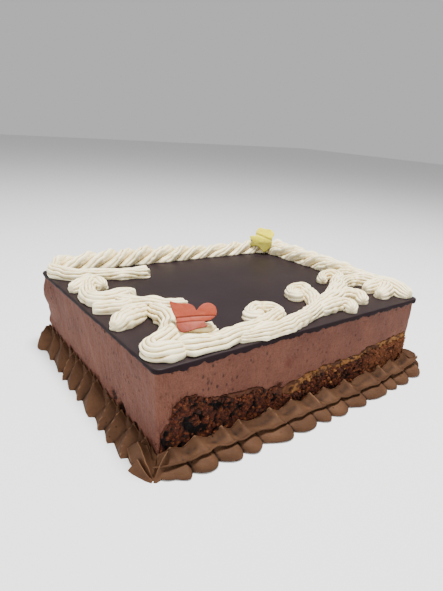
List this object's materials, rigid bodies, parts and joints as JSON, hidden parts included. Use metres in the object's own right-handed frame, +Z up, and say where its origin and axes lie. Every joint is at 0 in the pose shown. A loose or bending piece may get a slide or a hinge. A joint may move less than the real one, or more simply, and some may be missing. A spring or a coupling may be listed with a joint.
{
  "type": "chocolate custard sponge cake",
  "caption": "Rectangular layered sponge cake under chocolate mousse and a thin dark glaze, with piped cream ropes and scrolls, a ruffled chocolate border and sugar butterflies.",
  "frame": {"origin": "middle of the cake's flat underside, on the surface that it stands on", "axes": "+X along the longer side, towards the right of the cut front; +Y from the cut front to the back; +Z up"},
  "size_m": [0.2839, 0.2384, 0.0944],
  "materials": {
    "sponge": "open dark crumb",
    "custard": "pale open crumb",
    "mousse": "matt, finely pitted and dragged",
    "glaze": "smooth satin",
    "chocolate_cream": "soft sheen, ribbed",
    "cream": "soft sheen, ribbed",
    "coral_sugar": "matt",
    "yellow_sugar": "matt"
  },
  "bodies": {
    "root": {"sponge": "sponge", "custard_layer": "custard", "mousse": "mousse", "glaze": "glaze", "border_left": "chocolate_cream", "border_front": "chocolate_cream", "border_right": "chocolate_cream", "border_back": "chocolate_cream", "cream_rope_back": "cream", "cream_rope_right": "cream", "cream_sweep_left": "cream", "cream_scroll_left": "cream", "cream_hook_left": "cream", "cream_scroll_front": "cream", "cream_sweep_front": "cream", "cream_curl_middle": "cream", "cream_curl_right": "cream", "cream_fan_right": "cream", "butterfly_coral": "coral_sugar", "butterfly_yellow": "yellow_sugar"}
  },
  "joints": []
}
